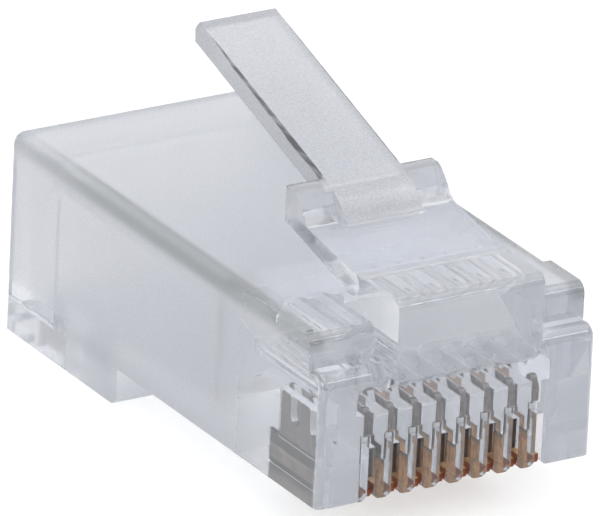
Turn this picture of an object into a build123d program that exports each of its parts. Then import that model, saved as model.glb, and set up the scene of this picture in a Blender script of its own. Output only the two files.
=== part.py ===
import math
import os

from build123d import *

os.makedirs("parts", exist_ok=True)

# Modular plug, eight contacts. Millimetres. X is the width, the mating nose faces -Y, the cable
# enters from +Y, and the latch is on top (+Z). The origin is the middle of the bottom of the whole part.

# Driving sizes
body_width = 11.68
body_length = 22.37
nose_height = 6.43
rear_drop = 1.49
contact_count = 8
contact_pitch = 1.02
wall_side = 1.0

# Nose
block_width = 6.2
block_reach = 0.6
block_rise = 1.42
block_top = nose_height + block_rise
block_foot = 4.75
ledge_depth = 0.95
ledge_height = 5.16
ledge_round = 0.6
nose_round = 0.45
top_round = 0.47
shoulder_length = 3.3
rear_block_start = 14.13
rear_block_round = 0.4
edge_round = 0.3

# Latch
hinge_from_nose = 2.62
hinge_radius = 0.44
hinge_clearance = 0.03
hinge_height = block_top - 0.01 - hinge_radius
latch_width = block_width
handle_width = 3.25
handle_thickness = 0.86
handle_tip = 16.25
plate_end = 5.60
plate_rise = 0.45
ear_back = 7.40
ear_rise = 1.12
bend_from_nose = 7.20
bend_rise = 0.10
handle_rise = 2.78
plate_end_height = block_top + plate_rise
ear_top = plate_end_height + ear_rise
bend_height = ear_top + bend_rise
handle_tip_height = bend_height + handle_rise

# Wire channels, funnel and cable cavity
channel_radius = 0.54
channel_height = 3.78
channel_floor = 3.22
cavity_start = 7.90
cavity_floor_front = 1.10
cavity_floor_rear = 0.85
cavity_ceiling = 5.30
funnel_top = 5.30
entry_start = 19.30
entry_floor = -0.60
entry_wall = 0.80

# Contact slots
blade_thickness = 0.27
grip_clearance = 0.005
grip_width = blade_thickness + 2 * grip_clearance
lean_gap = 0.03
lean_end = 3.20
grip_top = 1.22
end_relief = 0.03
slot_clearance = 0.065
slot_width = blade_thickness + 2 * slot_clearance
slot_open_height = 2.06
strip_foot = 2.41
front_wall = 0.64
slot_end_clearance = 0.05
blade_toe = 0.20
toe_height = 0.36
blade_step = 1.04
blade_front = front_wall + slot_end_clearance
blade_back = 4.60
blade_upper_back = 3.98
rib_round = 0.26
rib_round_reach = 0.45

# Contact blades
blade_bottom = 0.0
blade_shoulder = 1.32
prong_root = 2.35
prong_tip = 3.36
prong_point = 0.42
prong_count = 3
prong_width = 0.60
blade_round = 0.16

# Strain relief bar
bar_window_start = 15.90
bar_window_end = 19.30
bar_width = 6.60
bar_gap = 0.25
bar_web = 0.35
bar_depth = 2.10

# Where the nose face and the nose underside lie, once the whole part is centred
overall_length = body_length + block_reach
nose_y = block_reach - overall_length / 2
nose_z = rear_drop

contact_x = [(n - (contact_count - 1) / 2) * contact_pitch for n in range(contact_count)]


def at(y, z):
    """A point of a side profile, measured from the nose face and the nose underside."""
    return (nose_y + y, nose_z + z)


def edges_along(part, axis, test):
    """The edges of a part that run along an axis and pass a test of their middle point."""
    return [e for e in part.edges().filter_by(axis) if test(e.center())]


# Rear length of the housing: full section with its long top edges rounded
with BuildPart() as rear_shell:
    with BuildSketch(Plane.YZ):
        with BuildLine():
            Line(at(shoulder_length, 0), at(shoulder_length, nose_height))
            Line(at(shoulder_length, nose_height), at(body_length, nose_height))
            Line(at(body_length, nose_height), at(body_length, -rear_drop))
            Line(at(body_length, -rear_drop), at(rear_block_start + rear_block_round, -rear_drop))
            RadiusArc(
                at(rear_block_start + rear_block_round, -rear_drop),
                at(rear_block_start, rear_block_round - rear_drop),
                rear_block_round,
            )
            Line(at(rear_block_start, rear_block_round - rear_drop), at(rear_block_start, 0))
            Line(at(rear_block_start, 0), at(shoulder_length, 0))
        make_face()
    extrude(amount=body_width / 2, both=True)
    fillet(
        edges_along(rear_shell.part, Axis.Y, lambda c: c.Z > nose_z + nose_height - 0.01),
        top_round,
    )
    fillet(
        edges_along(rear_shell.part, Axis.Z, lambda c: c.Y > nose_y + body_length - 0.01),
        edge_round,
    )

# Front length of the housing: lower nose, ledge and set-back shoulders
with BuildPart() as nose_shell:
    with BuildSketch(Plane.YZ):
        with BuildLine():
            Line(at(0, 0), at(0, ledge_height - ledge_round))
            RadiusArc(
                at(0, ledge_height - ledge_round),
                at(ledge_round, ledge_height),
                ledge_round,
            )
            Line(at(ledge_round, ledge_height), at(ledge_depth, ledge_height))
            Line(at(ledge_depth, ledge_height), at(ledge_depth, nose_height - nose_round))
            RadiusArc(
                at(ledge_depth, nose_height - nose_round),
                at(ledge_depth + nose_round, nose_height),
                nose_round,
            )
            Line(at(ledge_depth + nose_round, nose_height), at(shoulder_length, nose_height))
            Line(at(shoulder_length, nose_height), at(shoulder_length, 0))
            Line(at(shoulder_length, 0), at(0, 0))
        make_face()
    extrude(amount=body_width / 2, both=True)
    fillet(
        edges_along(
            nose_shell.part,
            Axis.Z,
            lambda c: c.Y < nose_y + 0.01 and abs(abs(c.X) - body_width / 2) < 0.01,
        ),
        edge_round,
    )

# Centre block in front of and above the nose, with the round seat of the latch root
seat_radius = hinge_radius + hinge_clearance
block_back = hinge_from_nose + 0.50
seat_lip = math.sqrt(seat_radius**2 - (block_top - hinge_height) ** 2)
with BuildPart() as centre_block:
    with BuildSketch(Plane.YZ):
        with BuildLine():
            Polyline(
                at(block_back, hinge_height - seat_radius - 0.05),
                at(block_back, ledge_height - 0.6),
                at(ledge_depth, 4.0),
                at(0.0, block_foot - block_reach * 0.75),
                at(-block_reach, block_foot),
                at(-block_reach, block_top - nose_round),
            )
            RadiusArc(
                at(-block_reach, block_top - nose_round),
                at(nose_round - block_reach, block_top),
                nose_round,
            )
            Line(at(nose_round - block_reach, block_top), at(hinge_from_nose - seat_lip, block_top))
            ThreePointArc(
                at(hinge_from_nose - seat_lip, block_top),
                at(hinge_from_nose - seat_radius, hinge_height),
                at(hinge_from_nose, hinge_height - seat_radius),
            )
            Line(
                at(hinge_from_nose, hinge_height - seat_radius),
                at(block_back, hinge_height - seat_radius - 0.05),
            )
        make_face()
    extrude(amount=block_width / 2, both=True)

# One contact slot at the middle plane: a grip for the base of the blade, open at the nose face, and a
# wider well for its prongs behind the front wall
with BuildPart() as grip_cutter:
    with BuildSketch(Plane.YZ):
        with BuildLine():
            Polyline(
                at(-1.0, -1.0),
                at(-1.0, slot_open_height),
                at(blade_step, slot_open_height),
                at(blade_step, grip_top + 0.1),
                at(blade_back + slot_end_clearance, grip_top + 0.1),
                at(blade_back + slot_end_clearance, -1.0),
                close=True,
            )
        make_face()
    extrude(amount=grip_width / 2, both=True)

with BuildPart() as well_cutter:
    with BuildSketch(Plane.YZ):
        with BuildLine():
            Polyline(
                at(blade_step - slot_end_clearance, grip_top),
                at(blade_step - slot_end_clearance, strip_foot - slot_end_clearance),
                at(front_wall, strip_foot - slot_end_clearance),
                at(front_wall, channel_floor + 0.2),
                at(blade_upper_back + slot_end_clearance, channel_floor + 0.2),
                at(blade_upper_back + slot_end_clearance, grip_top),
                close=True,
            )
        make_face()
    extrude(amount=slot_width / 2, both=True)

# Relief on the +X side of one grip: the front of the blade leans on the other side
with BuildPart() as lean_cutter:
    with BuildSketch(Plane.YZ):
        with BuildLine():
            Polyline(
                at(blade_step - slot_end_clearance, -1.0),
                at(blade_step - slot_end_clearance, grip_top + 0.1),
                at(lean_end, grip_top + 0.1),
                at(lean_end, -1.0),
                close=True,
            )
        make_face()
    extrude(amount=blade_thickness / 2 + lean_gap)

# Relief on the outer side of the first and the last grip
with BuildPart() as relief_cutter:
    with BuildSketch(Plane.YZ):
        with BuildLine():
            Polyline(
                at(blade_step - slot_end_clearance, -1.0),
                at(blade_step - slot_end_clearance, grip_top + 0.1),
                at(blade_back + slot_end_clearance, grip_top + 0.1),
                at(blade_back + slot_end_clearance, -1.0),
                close=True,
            )
        make_face()
    extrude(amount=contact_pitch * (contact_count - 1) / 2 + grip_width / 2 + end_relief, both=True)
    with BuildSketch(Plane.YZ):
        with BuildLine():
            Polyline(
                at(front_wall - 1.0, -2.0),
                at(front_wall - 1.0, grip_top + 1.0),
                at(blade_back + 1.0, grip_top + 1.0),
                at(blade_back + 1.0, -2.0),
                close=True,
            )
        make_face()
    extrude(amount=contact_pitch * (contact_count - 1) / 2, both=True, mode=Mode.SUBTRACT)

# Rounded lower front corners of the ribs on both sides of one slot
with BuildPart() as rib_cutter:
    with BuildSketch(Plane.XZ.offset(-nose_y + 1.0)):
        with BuildLine():
            Polyline(
                (-grip_width / 2 - rib_round, nose_z),
                (-grip_width / 2 - rib_round, nose_z - 0.5),
                (grip_width / 2 + rib_round, nose_z - 0.5),
                (grip_width / 2 + rib_round, nose_z),
            )
            RadiusArc(
                (grip_width / 2 + rib_round, nose_z),
                (grip_width / 2, nose_z + rib_round),
                rib_round,
            )
            Line((grip_width / 2, nose_z + rib_round), (-grip_width / 2, nose_z + rib_round))
            RadiusArc(
                (-grip_width / 2, nose_z + rib_round),
                (-grip_width / 2 - rib_round, nose_z),
                rib_round,
            )
        make_face()
    extrude(amount=-(1.0 + rib_round_reach))

# Cable cavity: rounded box with a sloping floor, and a funnel up to the channels
with BuildPart() as cavity_cutter:
    with BuildSketch(Plane.YZ):
        with BuildLine():
            Polyline(
                at(cavity_start, cavity_floor_front),
                at(body_length + 1.0, cavity_floor_rear),
                at(body_length + 1.0, cavity_ceiling),
                at(cavity_start, cavity_ceiling),
                close=True,
            )
        make_face()
    extrude(amount=body_width / 2 - wall_side, both=True)
    fillet(cavity_cutter.part.edges().filter_by(Axis.Y), 0.5)

with BuildPart() as funnel_cutter:
    with BuildSketch(Plane.YZ):
        with BuildLine():
            Polyline(
                at(cavity_start + 0.5, cavity_floor_front),
                at(cavity_start, cavity_floor_front),
                at(funnel_top, channel_floor),
                at(funnel_top, channel_height + channel_radius - 0.1),
                at(cavity_start, cavity_ceiling - 0.15),
                at(cavity_start + 0.5, cavity_ceiling - 0.15),
                close=True,
            )
        make_face()
    extrude(amount=contact_pitch * (contact_count - 1) / 2 + channel_radius, both=True)

# Wider and deeper last stretch of the cavity, where the jacket goes in
with BuildPart() as entry_cutter:
    with BuildSketch(Plane.YZ):
        with BuildLine():
            Polyline(
                at(entry_start, entry_floor),
                at(body_length + 1.0, entry_floor),
                at(body_length + 1.0, cavity_ceiling + 0.15),
                at(entry_start + 0.6, cavity_ceiling + 0.15),
                at(entry_start, cavity_ceiling - 0.5),
                close=True,
            )
        make_face()
    extrude(amount=body_width / 2 - entry_wall, both=True)
    fillet(entry_cutter.part.edges().filter_by(Axis.Y), 0.4)

# Strain relief bar: a window through the floor of the rear block and a wedge hung in it
with BuildPart() as bar_window:
    with BuildSketch(Plane.YZ):
        with BuildLine():
            Polyline(
                at(bar_window_start, -rear_drop - 1.0),
                at(bar_window_end, -rear_drop - 1.0),
                at(bar_window_end, cavity_floor_rear + 0.5),
                at(bar_window_start, cavity_floor_rear + 0.5),
                close=True,
            )
        make_face()
    extrude(amount=bar_width / 2, both=True)

with BuildPart() as relief_bar:
    with BuildSketch(Plane.YZ):
        with BuildLine():
            Polyline(
                at(bar_window_end + 0.3, -rear_drop + 0.30),
                at(bar_window_end - 0.9, -rear_drop + 0.30),
                at(bar_window_end - 1.2, -rear_drop),
                at(bar_window_start + bar_gap + 0.6, -rear_drop),
                at(bar_window_start + bar_gap, -rear_drop + 0.5),
                at(bar_window_start + bar_gap, -rear_drop + bar_depth),
                at(bar_window_start + bar_gap + 0.5, -rear_drop + bar_depth),
                at(bar_window_end - 0.9, -rear_drop + 0.30 + bar_web),
                at(bar_window_end + 0.3, -rear_drop + 0.30 + bar_web),
                close=True,
            )
        make_face()
    extrude(amount=bar_width / 2 - bar_gap, both=True)

# Housing
with BuildPart() as housing:
    add(rear_shell.part)
    add(nose_shell.part)
    add(centre_block.part)
    add(cavity_cutter.part, mode=Mode.SUBTRACT)
    add(funnel_cutter.part, mode=Mode.SUBTRACT)
    add(entry_cutter.part, mode=Mode.SUBTRACT)
    with BuildSketch(Plane.XZ.offset(-(nose_y + front_wall))):
        for x in contact_x:
            with Locations((x, nose_z + channel_height)):
                Circle(channel_radius)
        with Locations((0, nose_z + (channel_floor + channel_height) / 2)):
            Rectangle(
                contact_pitch * (contact_count - 1) + 2 * channel_radius,
                channel_height - channel_floor,
            )
    extrude(amount=-(cavity_start + 0.2 - front_wall), mode=Mode.SUBTRACT)
    add(relief_cutter.part, mode=Mode.SUBTRACT)
    for x in contact_x:
        for cutter in (grip_cutter, lean_cutter, well_cutter, rib_cutter):
            add(cutter.part.moved(Location((x, 0, 0))), mode=Mode.SUBTRACT)
    add(bar_window.part, mode=Mode.SUBTRACT)
    add(relief_bar.part)

# Latch: root, plate and ears the full width, then the narrow handle
with BuildPart() as latch:
    with BuildSketch(Plane.YZ):
        with BuildLine():
            Line(at(hinge_from_nose, hinge_height + hinge_radius), at(plate_end, plate_end_height))
            Spline(
                at(plate_end, plate_end_height),
                at(plate_end + 0.55, plate_end_height + 0.42),
                at(plate_end + 1.05, ear_top - 0.18),
                at(ear_back - 0.35, ear_top),
                tangents=[(1.0, 0.15), (1.0, 0.05)],
            )
            Line(at(ear_back - 0.35, ear_top), at(ear_back, ear_top))
            Line(at(ear_back, ear_top), at(ear_back, plate_end_height - 0.25))
            Line(
                at(ear_back, plate_end_height - 0.25),
                at(hinge_from_nose + 0.55, hinge_height - hinge_radius + 0.09),
            )
            Line(
                at(hinge_from_nose + 0.55, hinge_height - hinge_radius + 0.09),
                at(hinge_from_nose, hinge_height - hinge_radius),
            )
            ThreePointArc(
                at(hinge_from_nose, hinge_height - hinge_radius),
                at(hinge_from_nose - hinge_radius, hinge_height),
                at(hinge_from_nose, hinge_height + hinge_radius),
            )
        make_face()
    extrude(amount=latch_width / 2, both=True)
    with BuildSketch(Plane.YZ):
        with BuildLine():
            Polyline(
                at(plate_end - 1.0, plate_end_height - 0.40),
                at(plate_end - 0.45, plate_end_height - 0.07),
            )
            Spline(
                at(plate_end - 0.45, plate_end_height - 0.07),
                at(plate_end + 0.35, plate_end_height + 0.55),
                at(bend_from_nose - 0.35, bend_height - 0.16),
                at(bend_from_nose + 0.30, bend_height + 0.10),
                tangents=[(1.0, 0.15), (1.0, 0.31)],
            )
            Polyline(
                at(bend_from_nose + 0.30, bend_height + 0.10),
                at(handle_tip, handle_tip_height),
                at(handle_tip + 0.30, handle_tip_height - 0.35),
                at(handle_tip + 0.26, handle_tip_height - handle_thickness),
                at(ear_back, bend_height - handle_thickness - 0.02),
                at(plate_end - 1.0, plate_end_height - 0.40),
            )
        make_face()
    extrude(amount=handle_width / 2, both=True)

# Contact blade at the middle plane: base with a rounded toe, shoulder and pointed prongs
prong_gap = (blade_upper_back - blade_front - prong_count * prong_width) / (prong_count - 1)
with BuildPart() as blade:
    with BuildSketch(Plane.YZ):
        with BuildLine():
            Polyline(
                at(blade_toe, blade_bottom),
                at(blade_back, blade_bottom),
                at(blade_back, blade_shoulder),
                at(blade_upper_back, blade_shoulder),
                at(blade_upper_back, prong_tip - prong_point),
                at(blade_front, prong_tip - prong_point),
                at(blade_front, strip_foot),
                at(blade_step, strip_foot),
                at(blade_step, toe_height),
                at(blade_toe, toe_height),
                close=True,
            )
        make_face()
        for n in range(prong_count):
            start = blade_front + n * (prong_width + prong_gap)
            with BuildLine():
                Polyline(
                    at(start, prong_tip - prong_point - 0.01),
                    at(start + prong_width * 0.36, prong_tip),
                    at(start + prong_width * 0.64, prong_tip),
                    at(start + prong_width, prong_tip - prong_point - 0.01),
                    close=True,
                )
            make_face()
        for n in range(prong_count - 1):
            start = blade_front + prong_width + n * (prong_width + prong_gap)
            with BuildLine():
                Polyline(
                    at(start, prong_root),
                    at(start, prong_tip),
                    at(start + prong_gap, prong_tip),
                    at(start + prong_gap, prong_root),
                )
                ThreePointArc(
                    at(start + prong_gap, prong_root),
                    at(start + prong_gap / 2, prong_root - prong_gap / 2),
                    at(start, prong_root),
                )
            make_face(mode=Mode.SUBTRACT)
    extrude(amount=blade_thickness / 2, both=True)
    fillet(
        edges_along(blade.part, Axis.X, lambda c: c.Z < nose_z + blade_bottom + 0.01),
        blade_round,
    )

housing.part.label = "housing"
latch.part.label = "latch"
export_step(housing.part, "parts/housing.step")
export_step(latch.part, "parts/latch.step")
for n, x in enumerate(contact_x):
    contact = blade.part.moved(Location((x, 0, 0)))
    contact.label = f"contact_{n + 1}"
    export_step(contact, f"parts/contact_{n + 1}.step")
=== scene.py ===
import logging
import math
from dataclasses import dataclass, field
from enum import Enum
from typing import Any, Sequence, Union

import bpy
from mathutils import Matrix, Vector

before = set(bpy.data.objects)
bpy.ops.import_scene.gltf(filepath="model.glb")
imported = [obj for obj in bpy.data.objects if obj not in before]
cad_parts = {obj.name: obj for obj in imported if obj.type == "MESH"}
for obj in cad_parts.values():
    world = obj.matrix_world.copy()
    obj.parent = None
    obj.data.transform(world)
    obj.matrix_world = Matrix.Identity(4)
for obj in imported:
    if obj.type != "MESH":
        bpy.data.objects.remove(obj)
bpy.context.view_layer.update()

LOG = logging.getLogger("modular_plug")

Colour = tuple[float, float, float, float]
Operand = Union["Wire", int, float]
Sockets = dict[Union[str, int], Any]
Span = tuple[float, float]
Triple = tuple[float, float, float]

BLACK: Colour = (0.0, 0.0, 0.0, 1.0)
WHITE: Colour = (1.0, 1.0, 1.0, 1.0)
# Squeeze of a pattern that is left as it is.
EVEN: Triple = (1.0, 1.0, 1.0)
# Middle of a value that runs from 0 to 1.
MIDDLE: float = 0.5
MILLIMETRES_PER_METRE: float = 1000.0


class Ray(Enum):
    """Rays that see the table at full white."""

    CAMERA = "Is Camera Ray"
    GLOSSY = "Is Glossy Ray"
    TRANSMISSION = "Is Transmission Ray"


class Wire:
    """A shader value whose arithmetic adds Math nodes to its tree."""

    def __init__(self, shader: "Shader", socket: bpy.types.NodeSocket) -> None:
        """Keeps the tree and the output socket that carries the value."""
        self.shader = shader
        self.socket = socket

    def _math(self, operation: str, *values: Operand) -> "Wire":
        """Result of one Math node on the given values, in the order of its sockets."""
        inputs = dict(enumerate(values))
        return self.shader.wire("ShaderNodeMath", {"operation": operation}, inputs)

    def __add__(self, other: Operand) -> "Wire":
        """Sum of two values."""
        return self._math("ADD", self, other)

    def __radd__(self, other: Operand) -> "Wire":
        """Sum with a number on the left."""
        return self._math("ADD", other, self)

    def __sub__(self, other: Operand) -> "Wire":
        """Difference of two values."""
        return self._math("SUBTRACT", self, other)

    def __rsub__(self, other: Operand) -> "Wire":
        """Difference with a number on the left."""
        return self._math("SUBTRACT", other, self)

    def __mul__(self, other: Operand) -> "Wire":
        """Product of two values."""
        return self._math("MULTIPLY", self, other)

    def __rmul__(self, other: Operand) -> "Wire":
        """Product with a number on the left."""
        return self._math("MULTIPLY", other, self)

    def peak(self, other: Operand) -> "Wire":
        """The larger of two values."""
        return self._math("MAXIMUM", self, other)

    def step(self, low: float, high: float) -> "Wire":
        """A smooth 0 to 1 step between two levels.

        Args:
            low: Level at which the step is 0.
            high: Level at which the step is 1.

        Returns:
            The step as a wire.
        """
        return self.shader.wire(
            "ShaderNodeMapRange",
            {"interpolation_type": "SMOOTHSTEP"},
            {"Value": self, "From Min": low, "From Max": high},
        )

    def between(self, low: float, high: float) -> "Wire":
        """Value that goes from low to high as this one goes from 0 to 1."""
        return low + self * (high - low)


@dataclass(frozen=True)
class Pattern:
    """Noise of a finish: features per metre, finer layers, their weight and a squeeze.

    A squeeze below 1 on an axis draws the marks out along that axis.
    """

    scale: float
    detail: float
    roughness: float
    squeeze: Triple = EVEN


class Shader:
    """Node tree of one material or of the world, filled from Python expressions."""

    def __init__(self, tree: bpy.types.NodeTree) -> None:
        """Takes a node tree and empties it."""
        self.tree = tree
        tree.nodes.clear()

    def node(
        self,
        kind: str,
        settings: dict[str, Any] | None = None,
        inputs: Sockets | None = None,
    ) -> bpy.types.Node:
        """Adds one node.

        Args:
            kind: Type name of the node.
            settings: Attributes set before its sockets.
            inputs: Values, wires or sockets by socket name or number.

        Returns:
            The node.
        """
        node = self.tree.nodes.new(kind)
        for name, value in (settings or {}).items():
            setattr(node, name, value)
        for name, value in (inputs or {}).items():
            socket = node.inputs[name]
            if isinstance(value, Wire):
                self.tree.links.new(value.socket, socket)
            elif isinstance(value, bpy.types.NodeSocket):
                self.tree.links.new(value, socket)
            else:
                socket.default_value = value
        return node

    def wire(
        self,
        kind: str,
        settings: dict[str, Any] | None = None,
        inputs: Sockets | None = None,
        output: Union[str, int] = 0,
    ) -> Wire:
        """Adds one node as `node` does, and takes one of its outputs."""
        return Wire(self, self.node(kind, settings, inputs).outputs[output])

    def blend(self, factor: Wire, first: Union[Wire, Colour], second: Union[Wire, Colour]) -> Wire:
        """Colour between two colours.

        Args:
            factor: 0 gives the first colour and 1 the second.
            first: Colour at factor 0.
            second: Colour at factor 1.

        Returns:
            The mixed colour.
        """
        return self.wire(
            "ShaderNodeMix",
            {"data_type": "RGBA"},
            {0: factor, 6: first, 7: second},
            2,
        )

    def place(self) -> Wire:
        """Place on the piece, in metres, which travels with the piece."""
        return self.wire("ShaderNodeTexCoord", output="Object")

    def split(self, vector: Wire) -> tuple[Wire, Wire, Wire]:
        """The X, Y and Z of a vector.

        Args:
            vector: Vector to take apart.

        Returns:
            Its three values.
        """
        parts = self.node("ShaderNodeSeparateXYZ", None, {0: vector})
        x, y, z = (Wire(self, output) for output in parts.outputs)
        return x, y, z

    def noise(self, place: Wire, pattern: Pattern) -> Wire:
        """Noise value at a place.

        Args:
            place: Place to read it at.
            pattern: Pattern to lay there.

        Returns:
            The noise, 0 to 1.
        """
        if pattern.squeeze != EVEN:
            squeeze = {0: place, 1: pattern.squeeze}
            place = self.wire("ShaderNodeVectorMath", {"operation": "MULTIPLY"}, squeeze)
        return self.wire(
            "ShaderNodeTexNoise",
            {"noise_dimensions": "3D"},
            {
                "Vector": place,
                "Scale": pattern.scale,
                "Detail": pattern.detail,
                "Roughness": pattern.roughness,
            },
        )

    def bump(self, height: Wire, strength: float, distance: float) -> Wire:
        """Surface normal disturbed by a height.

        Args:
            height: Height, 0 to 1.
            strength: Share of the effect.
            distance: Height of 1 in metres.

        Returns:
            The normal as a wire.
        """
        return self.wire(
            "ShaderNodeBump",
            None,
            {"Height": height, "Strength": strength, "Distance": distance},
        )

    def mix(
        self,
        factor: Union[Wire, bpy.types.NodeSocket],
        first: bpy.types.Node,
        second: bpy.types.Node,
    ) -> bpy.types.Node:
        """Surface between two surfaces: the first at factor 0 and the second at 1."""
        inputs = {0: factor, 1: first.outputs[0], 2: second.outputs[0]}
        return self.node("ShaderNodeMixShader", None, inputs)

    def finish(self, surface: bpy.types.Node, output: str = "ShaderNodeOutputMaterial") -> None:
        """Joins the last shader node to the output of the tree."""
        self.node(output, None, {"Surface": surface.outputs[0]})


def new_material(name: str) -> tuple[bpy.types.Material, Shader]:
    """An empty node material.

    Args:
        name: Name of the material.

    Returns:
        The material and its emptied tree.
    """
    material = bpy.data.materials.new(name)
    material.use_nodes = True
    return material, Shader(material.node_tree)


@dataclass(frozen=True)
class Zones:
    """Coordinates, masks and patterns over one moulding.

    The coordinates are in metres: width from the middle plane, back towards the cable end and
    height from the table. Everything else runs from 0 to 1.
    """

    width: Wire
    back: Wire
    height: Wire
    body: Wire
    nose: Wire
    low: Wire
    upper: Wire
    top: Wire
    # Mask of the painted shade band along the top side corners.
    corner: Wire
    clear_end: Wire
    cloud: Wire
    grain: Wire
    flow: Wire
    blotch: Wire
    speckle: Wire


@dataclass(frozen=True)
class SideShadeLine:
    """Painted shade: a dark line along the top of the handle's two sides, thick at the bend and
    thin at the tip.
    """

    # Colour of the painted shade line.
    tint: Colour = (0.05, 0.055, 0.06, 1.0)
    side: Span = (0.00157, 0.00161)
    bend_back: float = -0.003385
    bend_height: float = 0.01111
    slope: float = 0.3063
    thickness: float = 0.00036
    taper: float = 0.032
    wander: float = 0.0004
    edge: Span = (0.0, 0.00008)
    start: Span = (-0.0003, 0.0)
    end: Span = (0.0074, 0.0080)
    streak: Pattern = Pattern(scale=5200.0, detail=2.0, roughness=0.6, squeeze=(1.0, 0.12, 1.0))
    streak_levels: Span = (0.35, 0.60)
    streak_depth: Span = (0.55, 1.0)

    def mask(self, shader: Shader, place: Wire, zones: Zones) -> Wire:
        """Where the line is.

        Args:
            shader: Tree of the finish.
            place: Place on the latch.
            zones: Masks of the latch.

        Returns:
            1 on the line and 0 beside it.
        """
        along = zones.back - self.bend_back
        drop = self.bend_height + along * self.slope - zones.height
        thick = self.thickness - along * self.taper + (zones.cloud - MIDDLE) * self.wander
        line = zones.width.step(*self.side) * (thick - drop).step(*self.edge)
        line = line * along.step(*self.start) * (1.0 - along.step(*self.end))
        streak = shader.noise(place, self.streak).step(*self.streak_levels)
        return line * streak.between(*self.streak_depth)


@dataclass(frozen=True)
class ClearPlastic:
    """Clear moulded polycarbonate, glossy at the nose and slightly frosted further back.

    A share of haze, which is a milky surface, is mixed into a clear one. Tints colour the clear
    share and frosts colour the milky share. The look of the body comes in over the soft reach
    and is complete a little earlier in the core, which is a hair wide on the housing and as
    wide as the handle on the latch.
    """

    name: str = "clear_polycarbonate"
    refraction: float = 1.58
    shadow: Colour = (0.97, 0.975, 0.98, 1.0)

    tint: Colour = (0.805, 0.82, 0.858, 1.0)
    tint_body: Colour = (0.76, 0.775, 0.815, 1.0)
    tint_blotch: Colour = (0.73, 0.745, 0.78, 1.0)
    tint_low: Colour = (0.66, 0.675, 0.71, 1.0)
    # Painted shade: a dark band along the top side corners, standing in for light that the thick
    # wall there refracts away.
    tint_corner_painted_shade: Colour = (0.41, 0.425, 0.43, 1.0)
    frost: Colour = (0.71, 0.727, 0.77, 1.0)
    frost_speck: Colour = (0.46, 0.472, 0.505, 1.0)
    # Painted shade of the same corner band, in the milky share.
    frost_corner_painted_shade: Colour = (0.345, 0.36, 0.365, 1.0)

    haze: Span = (0.03, 0.30)
    haze_low: Span = (0.20, 1.0)
    haze_top: float = 0.20
    haze_cloud: float = 0.10
    haze_blotch: float = 0.05
    haze_grain: float = 0.12
    grain_share: Span = (0.15, 1.0)
    speckle_share: Span = (0.2, 1.0)
    blotch_share: Span = (0.25, 1.0)

    roughness: Span = (0.03, 0.34)
    roughness_grain: float = 0.06
    milky_roughness: Span = (0.35, 0.55)
    grain_relief: Span = (0.12, 0.35)
    flow_relief: float = 3.0
    relief_strength: float = 0.5
    relief: float = 0.0000012

    soft_reach: Span = (-0.0075, -0.0040)
    low_heights: Span = (0.0012, 0.0026)
    upper_heights: Span = (0.0045, 0.0058)
    top_heights: Span = (0.0070, 0.0082)
    end_reach: Span = (0.0066, 0.0076)
    end_heights: Span = (0.0014, 0.0024)
    # Where the painted shade band along the top side corners lies and how it fades towards the
    # back.
    corner_side: Span = (0.0051, 0.0054)
    corner_heights: Span = (0.0071, 0.0075)
    corner_reach: Span = (0.0040, 0.0115)
    corner_fade: Span = (1.0, 0.3)

    cloud: Pattern = Pattern(scale=420.0, detail=3.0, roughness=0.55)
    grain: Pattern = Pattern(scale=9000.0, detail=2.0, roughness=0.6)
    flow: Pattern = Pattern(scale=700.0, detail=2.0, roughness=0.5, squeeze=(1.0, 0.25, 1.0))
    blotch: Pattern = Pattern(scale=780.0, detail=1.5, roughness=0.5, squeeze=(1.0, 1.0, 0.45))
    blotch_levels: Span = (0.35, 0.65)
    speckle: Pattern = Pattern(scale=13000.0, detail=1.0, roughness=0.5)
    speckle_levels: Span = (0.25, 0.75)

    core_side: Span = (0.0, 0.0001)
    core_reach: Span = (-0.0056, -0.0053)
    side_shade_line: SideShadeLine | None = None

    def build(self) -> bpy.types.Material:
        """Makes the finish.

        Returns:
            The finished material.
        """
        material, shader = new_material(self.name)
        place = shader.place()
        zones = self._zones(shader, place)
        tint, frost = self._colours(shader, place, zones)
        relief = zones.grain * zones.body.between(*self.grain_relief)
        relief = relief + zones.flow * self.flow_relief
        normal = shader.bump(relief, self.relief_strength, self.relief)
        clear = shader.node(
            "ShaderNodeBsdfPrincipled",
            None,
            {
                "Base Color": tint,
                "Roughness": self._roughness(zones),
                "IOR": self.refraction,
                "Transmission Weight": 1.0,
                "Normal": normal,
            },
        )
        milky = shader.node(
            "ShaderNodeBsdfPrincipled",
            None,
            {
                "Base Color": frost,
                "Roughness": zones.grain.between(*self.milky_roughness),
                "IOR": self.refraction,
                "Normal": normal,
            },
        )
        moulded = shader.mix(self._haze(zones), clear, milky)
        lit_through = shader.node("ShaderNodeBsdfTransparent", None, {"Color": self.shadow})
        path = shader.node("ShaderNodeLightPath")
        shader.finish(shader.mix(path.outputs["Is Shadow Ray"], moulded, lit_through))
        return material

    def _zones(self, shader: Shader, place: Wire) -> Zones:
        """Masks and patterns of the moulding.

        Args:
            shader: Tree of the finish.
            place: Place on the moulding.

        Returns:
            The masks and patterns.
        """
        side, back, height = shader.split(place)
        width = side.peak(0.0 - side)
        body = back.step(*self.soft_reach)
        core = 1.0 - width.step(*self.core_side)
        body = body.peak(core * back.step(*self.core_reach))
        # Mask of the painted shade band along the top side corners.
        corner = width.step(*self.corner_side) * height.step(*self.corner_heights)
        fade = back.step(*self.corner_reach).between(*self.corner_fade)
        return Zones(
            width=width,
            back=back,
            height=height,
            body=body,
            nose=1.0 - body,
            low=1.0 - height.step(*self.low_heights),
            upper=height.step(*self.upper_heights),
            top=height.step(*self.top_heights),
            corner=corner * fade,
            clear_end=back.step(*self.end_reach) * (1.0 - height.step(*self.end_heights)),
            cloud=shader.noise(place, self.cloud),
            grain=shader.noise(place, self.grain),
            flow=shader.noise(place, self.flow),
            blotch=shader.noise(place, self.blotch).step(*self.blotch_levels),
            speckle=shader.noise(place, self.speckle).step(*self.speckle_levels),
        )

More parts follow.
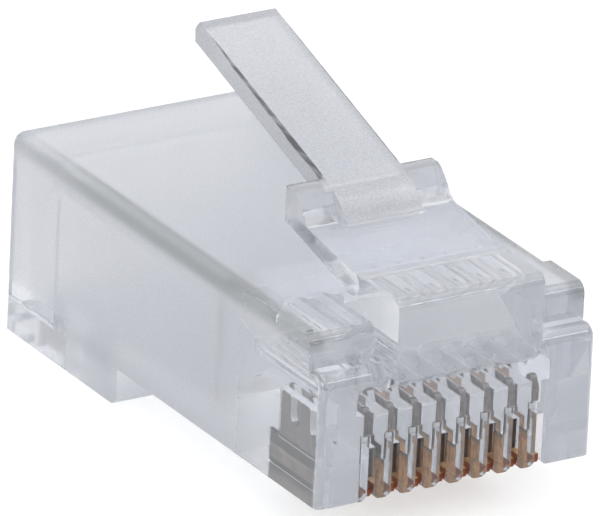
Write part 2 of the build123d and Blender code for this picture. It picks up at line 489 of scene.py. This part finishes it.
    def _colours(self, shader: Shader, place: Wire, zones: Zones) -> tuple[Wire, Wire]:
        """Colours of the clear and of the milky share.

        Args:
            shader: Tree of the finish.
            place: Place on the moulding.
            zones: Masks of the moulding.

        Returns:
            The tint and the frost.
        """
        tint = shader.blend(zones.body, self.tint, self.tint_body)
        blotch = zones.blotch * zones.nose * zones.upper.between(*self.blotch_share)
        tint = shader.blend(blotch, tint, self.tint_blotch)
        tint = shader.blend(zones.body * zones.low, tint, self.tint_low)
        # Painted shade band along the top side corners, in the clear and in the milky share.
        tint = shader.blend(zones.corner, tint, self.tint_corner_painted_shade)
        speckle = MIDDLE + (zones.speckle - MIDDLE) * zones.body.between(*self.speckle_share)
        frost = shader.blend(speckle, self.frost, self.frost_speck)
        frost = shader.blend(zones.corner, frost, self.frost_corner_painted_shade)
        # Painted shade line along the top of the handle's sides.
        if self.side_shade_line is not None:
            line = self.side_shade_line.mask(shader, place, zones)
            tint = shader.blend(line, tint, self.side_shade_line.tint)
            frost = shader.blend(line, frost, self.side_shade_line.tint)
        return tint, frost

    def _roughness(self, zones: Zones) -> Wire:
        """Roughness of the clear share: glossy at the nose and at the low rear corners."""
        soft = zones.body * (1.0 - zones.clear_end)
        return soft.between(*self.roughness) + zones.grain * zones.cloud * self.roughness_grain

    def _haze(self, zones: Zones) -> Wire:
        """Share of the milky surface.

        Args:
            zones: Masks of the moulding.

        Returns:
            The share, 0 to 1.
        """
        soft = zones.body * (1.0 - zones.clear_end) * (1.0 - zones.low).between(*self.haze_low)
        haze = soft.between(*self.haze)
        haze = haze + zones.top * zones.nose * self.haze_top
        haze = haze + (zones.cloud - MIDDLE) * zones.body * self.haze_cloud
        haze = haze + (1.0 - zones.blotch) * zones.upper * zones.nose * self.haze_blotch
        grain_share = zones.body.between(*self.grain_share)
        return haze + (zones.grain - MIDDLE) * grain_share * self.haze_grain


@dataclass(frozen=True)
class BladeDarkMarks:
    """Dark marks across a blade: a band where its close grip ends, and its foot."""

    band_start: Span = (0.00225, 0.00231)
    band_end: Span = (0.00275, 0.00285)
    foot: Span = (0.00166, 0.00176)
    unevenness: float = 0.4

    def mask(self, height: Wire, ragged: Wire) -> Wire:
        """Where the marks are.

        Args:
            height: Height on the blade.
            ragged: Small uneven lengths that fray the band.

        Returns:
            1 on the marks and 0 elsewhere.
        """
        frayed = height + ragged * self.unevenness
        band = frayed.step(*self.band_start) * (1.0 - frayed.step(*self.band_end))
        return band.peak(1.0 - height.step(*self.foot))


@dataclass(frozen=True)
class ContactMetal:
    """Stamped contact blade: gold on the mating end of the base, nickel grey on the prongs."""

    name: str = "plated_contact"
    gold: Colour = (0.98, 0.57, 0.26, 1.0)
    gold_worn: Colour = (0.46, 0.27, 0.13, 1.0)
    nickel: Colour = (0.26, 0.235, 0.215, 1.0)
    nickel_dark: Colour = (0.10, 0.085, 0.075, 1.0)
    # Dark red-brown of the toe: copper, darkened by painted shade.
    copper_with_shade: Colour = (0.24, 0.06, 0.022, 1.0)
    # Near-black: painted shade in the slot mouths, also used for the blades' dark marks.
    shade_and_mark_black: Colour = (0.008, 0.005, 0.004, 1.0)
    # Near-white painted highlight on the blades' front edges above the shelf.
    edge_painted_highlight: Colour = (0.88, 0.88, 0.90, 1.0)
    metallic: float = 0.55
    roughness: Span = (0.28, 0.50)
    relief_strength: float = 0.5
    relief: float = 0.000003

    wear: Pattern = Pattern(scale=2600.0, detail=3.0, roughness=0.6)
    drawn: Pattern = Pattern(scale=22000.0, detail=3.0, roughness=0.6, squeeze=(1.0, 1.0, 0.08))
    wear_levels: Span = (0.35, 0.7)
    ragged: float = 0.0005

    plate_heights: Span = (0.00235, 0.00275)
    plate_reach: Span = (-0.0072, -0.0060)
    toe_heights: Span = (0.00183, 0.00187)
    slot_reach: Span = (-0.01010, -0.00985)
    slot_heights: Span = (0.00352, 0.00356)
    front_facing: Span = (0.4, 0.8)
    dark_marks: BladeDarkMarks | None = None

    def build(self) -> bpy.types.Material:
        """Makes the finish.

        Returns:
            The finished material.
        """
        material, shader = new_material(self.name)
        place = shader.place()
        drawn = shader.noise(place, self.drawn)
        surface = shader.node(
            "ShaderNodeBsdfPrincipled",
            None,
            {
                "Base Color": self._colour(shader, place, drawn),
                "Metallic": self.metallic,
                "Roughness": drawn.between(*self.roughness),
                "Normal": shader.bump(drawn, self.relief_strength, self.relief),
            },
        )
        shader.finish(surface)
        return material

    def _colour(self, shader: Shader, place: Wire, drawn: Wire) -> Wire:
        """Plating of the blade, with its front edge painted as a pale highlight above the shelf
        and as black shade below it, and its toe in copper darkened by painted shade.

        Args:
            shader: Tree of the finish.
            place: Place on the blade.
            drawn: Fine upright drawing marks.

        Returns:
            The colour.
        """
        _, reach, height = shader.split(place)
        wear = shader.noise(place, self.wear)
        ragged = (wear - MIDDLE) * self.ragged
        gold = shader.blend(wear.step(*self.wear_levels), self.gold, self.gold_worn)
        nickel = shader.blend(drawn.step(*self.wear_levels), self.nickel, self.nickel_dark)
        bare = (height + ragged).step(*self.plate_heights)
        bare = bare.peak((reach + ragged).step(*self.plate_reach))
        plated = shader.blend(bare, gold, nickel)
        # Dark band and dark foot on the blade.
        if self.dark_marks is not None:
            plated = shader.blend(self.dark_marks.mask(height, ragged), plated, self.shade_and_mark_black)
        # Front edges behind the front face: a painted pale highlight above the shelf and painted
        # black shade in the slot mouths below it.
        _, facing_back, _ = shader.split(shader.wire("ShaderNodeTexCoord", output="Normal"))
        ahead = (0.0 - facing_back).step(*self.front_facing)
        behind_front = reach.step(*self.slot_reach)
        below_shelf = 1.0 - height.step(*self.slot_heights)
        edge = shader.blend(below_shelf, self.edge_painted_highlight, self.shade_and_mark_black)
        painted_edges = shader.blend(ahead * behind_front, plated, edge)
        # Toe of the blade at the front: copper darkened by painted shade.
        toe = (1.0 - height.step(*self.toe_heights)) * (1.0 - behind_front)
        return shader.blend(toe, painted_edges, self.copper_with_shade)


@dataclass(frozen=True)
class StudioFloor:
    """Matt white table top that keeps the soft shadow of the plug."""

    name: str = "studio_floor"
    albedo: Colour = (0.62, 0.62, 0.62, 1.0)
    glow: float = 0.45
    sheen: float = 0.1
    roughness: Span = (0.85, 0.95)
    dust: Pattern = Pattern(scale=900.0, detail=2.0, roughness=0.5)

    def build(self) -> bpy.types.Material:
        """Makes the finish.

        Returns:
            The finished material.
        """
        material, shader = new_material(self.name)
        dust = shader.noise(shader.place(), self.dust)
        surface = shader.node(
            "ShaderNodeBsdfPrincipled",
            None,
            {
                "Base Color": self.albedo,
                "Roughness": dust.between(*self.roughness),
                "Specular IOR Level": self.sheen,
                "Emission Color": shader.blend(stage_rays(shader), BLACK, WHITE),
                "Emission Strength": self.glow,
            },
        )
        shader.finish(surface)
        return material


def stage_rays(shader: Shader) -> Wire:
    """1 for the rays that show the stage white: seen directly, mirrored or through the plastic.

    Args:
        shader: Tree to add the nodes to.

    Returns:
        The mask as a wire.
    """
    path = shader.node("ShaderNodeLightPath")
    seen, *others = (Wire(shader, path.outputs[ray.value]) for ray in Ray)
    for other in others:
        seen = seen.peak(other)
    return seen


def put_on(name: str, material: bpy.types.Material) -> bpy.types.Object:
    """Puts a finish on every slot of a carried-over solid.

    Args:
        name: Name of the solid.
        material: Its finish.

    Returns:
        The solid's object.
    """
    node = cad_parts[name]
    if not node.material_slots:
        node.data.materials.append(material)
    for slot in node.material_slots:
        slot.material = material
    LOG.info("%s wears %s", name, material.name)
    return node


@dataclass
class Housing:
    """Clear body of the plug: nose, comb of ribs, wire channels and cable cavity."""

    node: str = "housing"
    finish: ClearPlastic = field(default_factory=ClearPlastic)

    def dress(self) -> None:
        """Gives the body its finish."""
        put_on(self.node, self.finish.build())


@dataclass
class Latch:
    """Sprung latch of the plug: root, plate, two ears and the handle."""

    node: str = "latch"
    finish: ClearPlastic = field(
        default_factory=lambda: ClearPlastic(
            name="clear_latch",
            tint=(0.80, 0.815, 0.85, 1.0),
            tint_blotch=(0.80, 0.815, 0.85, 1.0),
            frost=(0.64, 0.65, 0.69, 1.0),
            frost_speck=(0.52, 0.53, 0.565, 1.0),
            haze=(0.06, 0.52),
            haze_top=0.0,
            roughness=(0.03, 0.20),
            soft_reach=(-0.0045, -0.0030),
            core_side=(0.0016, 0.0017),
            # Painted shade line along the handle's sides.
            side_shade_line=SideShadeLine(),
        )
    )

    def dress(self) -> None:
        """Gives the latch its finish."""
        put_on(self.node, self.finish.build())


@dataclass
class ContactRow:
    """Row of stamped blades that stand in the slots of the nose, the first one painted darker as
    shade.
    """

    count: int = 8
    stem: str = "contact_"
    press: float = 0.000012
    finish: ContactMetal = field(default_factory=ContactMetal)
    # Darker copy of the blade finish on the first blade: painted shade.
    shaded_end_finish: ContactMetal = field(
        default_factory=lambda: ContactMetal(
            name="shaded_end_contact",
            gold=(0.22, 0.19, 0.15, 1.0),
            gold_worn=(0.10, 0.085, 0.065, 1.0),
            nickel=(0.20, 0.18, 0.165, 1.0),
            nickel_dark=(0.06, 0.05, 0.045, 1.0),
            dark_marks=BladeDarkMarks(),
        )
    )

    def dress(self) -> None:
        """Gives each blade its finish and presses its faces into the plastic."""
        metal = self.finish.build()
        shaded_end_metal = self.shaded_end_finish.build()
        for number in range(1, self.count + 1):
            # The first blade wears the darker copy, painted shade.
            node = put_on(f"{self.stem}{number}", shaded_end_metal if number == 1 else metal)
            grip = node.modifiers.new("grip", "DISPLACE")
            grip.strength = self.press
            grip.mid_level = 0.0
            grip.direction = "NORMAL"


@dataclass(frozen=True)
class Lamp:
    """One soft rectangular lamp aimed at the plug, in metres and watts."""

    name: str
    place: Triple
    size: Span
    power: float
    target: Triple = (0.0, 0.0, 0.005)

    def build(self) -> None:
        """Adds the lamp to the scene."""
        data = bpy.data.lights.new(self.name, "AREA")
        data.shape = "RECTANGLE"
        data.size, data.size_y = self.size
        data.energy = self.power
        lamp = bpy.data.objects.new(self.name, data)
        bpy.context.scene.collection.objects.link(lamp)
        lamp.location = self.place
        aim = Vector(self.target) - Vector(self.place)
        lamp.rotation_euler = aim.to_track_quat("-Z", "Y").to_euler()


@dataclass(frozen=True)
class Room:
    """Pale room: brightest overhead and behind the plug, darkest low down in front of it.

    The spans are read from the direction of a ray, which runs from -1 to 1 upwards and to the
    back. The levels add up.
    """

    name: str = "room"
    overhead: Span = (0.0, 0.5)
    overhead_level: float = 0.50
    behind: Span = (-0.3, 0.4)
    behind_level: float = 0.42
    base_level: float = 0.17

    def build(self) -> None:
        """Makes the world."""
        world = bpy.data.worlds.new(self.name)
        bpy.context.scene.world = world
        world.use_nodes = True
        shader = Shader(world.node_tree)
        _, back, up = shader.split(shader.wire("ShaderNodeTexCoord", output="Generated"))
        level = up.step(*self.overhead) * self.overhead_level
        level = level + back.step(*self.behind) * self.behind_level + self.base_level
        light = shader.node("ShaderNodeBackground", None, {"Color": WHITE, "Strength": level})
        shader.finish(light, "ShaderNodeOutputWorld")


@dataclass
class Studio:
    """White table, soft lamps and the pale room round the plug."""

    table_half: float = 0.6
    table_drop: float = 0.00002
    table_finish: StudioFloor = field(default_factory=StudioFloor)
    room: Room = field(default_factory=Room)
    lamps: tuple[Lamp, ...] = (
        Lamp("key", place=(0.16, -0.05, 0.30), size=(0.22, 0.22), power=0.24),
        Lamp("fill", place=(-0.28, -0.20, 0.22), size=(0.20, 0.20), power=0.47),
        Lamp("glint", place=(0.20, -0.24, 0.26), size=(0.05, 0.05), power=0.04),
    )

    def build(self) -> None:
        """Builds the table, the lamps and the room."""
        self._build_table()
        for lamp in self.lamps:
            lamp.build()
        self.room.build()
        LOG.info("studio with %d lamps", len(self.lamps))

    def _build_table(self) -> None:
        """Builds the table top just under the plug."""
        half = self.table_half
        corners = [(-half, -half, 0.0), (half, -half, 0.0), (half, half, 0.0), (-half, half, 0.0)]
        mesh = bpy.data.meshes.new("table_top")
        mesh.from_pydata(corners, [], [(0, 1, 2, 3)])
        mesh.materials.append(self.table_finish.build())
        table = bpy.data.objects.new("table_top", mesh)
        bpy.context.scene.collection.objects.link(table)
        table.location.z = -self.table_drop


@dataclass(frozen=True)
class LightPaths:
    """How far light is followed: light that is caught in clear plastic turns many corners."""

    total: int = 24
    mirrored: int = 20
    through: int = 20

    def apply(self) -> None:
        """Sets the path lengths of the scene."""
        cycles = bpy.context.scene.cycles
        cycles.max_bounces = self.total
        cycles.glossy_bounces = self.mirrored
        cycles.transmission_bounces = self.through


@dataclass(frozen=True)
class Viewpoint:
    """Long lens at the angle of the photograph, from the left front and above.

    Angles are in degrees. The distance and the target are in millimetres. The focal length, the
    offset of the target from the middle and the frame's width are in pixels of the photograph.
    """

    azimuth: float = -32.354
    elevation: float = 23.119
    roll: float = 2.794
    distance: float = 486.316
    target: Triple = (0.0, -0.885, 4.49)
    focal: float = 13244.72
    offset: Span = (14.409, 49.833)
    frame_width: float = 600.0
    sensor: float = 36.0
    clip: Span = (0.01, 20.0)

    def build(self) -> None:
        """Adds the camera and makes it the scene's own."""
        data = bpy.data.cameras.new("view")
        data.sensor_width = self.sensor
        data.lens = self.focal / self.frame_width * self.sensor
        data.clip_start, data.clip_end = self.clip
        camera = bpy.data.objects.new("view", data)
        bpy.context.scene.collection.objects.link(camera)
        camera.matrix_world = self._stand()
        bpy.context.scene.camera = camera

    def _stand(self) -> Matrix:
        """Works out where the camera stands and how it is turned.

        Returns:
            The matrix of the camera, in metres.
        """
        turn, rise, roll = (math.radians(v) for v in (self.azimuth, self.elevation, self.roll))
        level = math.cos(rise)
        back = Vector((math.sin(turn) * level, -math.cos(turn) * level, math.sin(rise)))
        side = (-back).cross(Vector((0.0, 0.0, 1.0))).normalized()
        top = side.cross(-back)
        right = side * math.cos(roll) + top * math.sin(roll)
        up = top * math.cos(roll) - side * math.sin(roll)
        aim = -back - right * (self.offset[0] / self.focal) + up * (self.offset[1] / self.focal)
        aim.normalize()
        right = aim.cross(up).normalized()
        up = right.cross(aim)
        spot = (Vector(self.target) + back * self.distance) / MILLIMETRES_PER_METRE
        return Matrix.Translation(spot) @ Matrix((right, up, -aim)).transposed().to_4x4()


def main() -> None:
    """Dresses the plug, sets the studio up and places the camera."""
    logging.basicConfig(level=logging.INFO, format="%(name)s: %(message)s")
    bpy.context.scene.view_settings.view_transform = "Standard"
    Housing().dress()
    Latch().dress()
    ContactRow().dress()
    Studio().build()
    LightPaths().apply()
    Viewpoint().build()


if __name__ == "__main__":
    main()
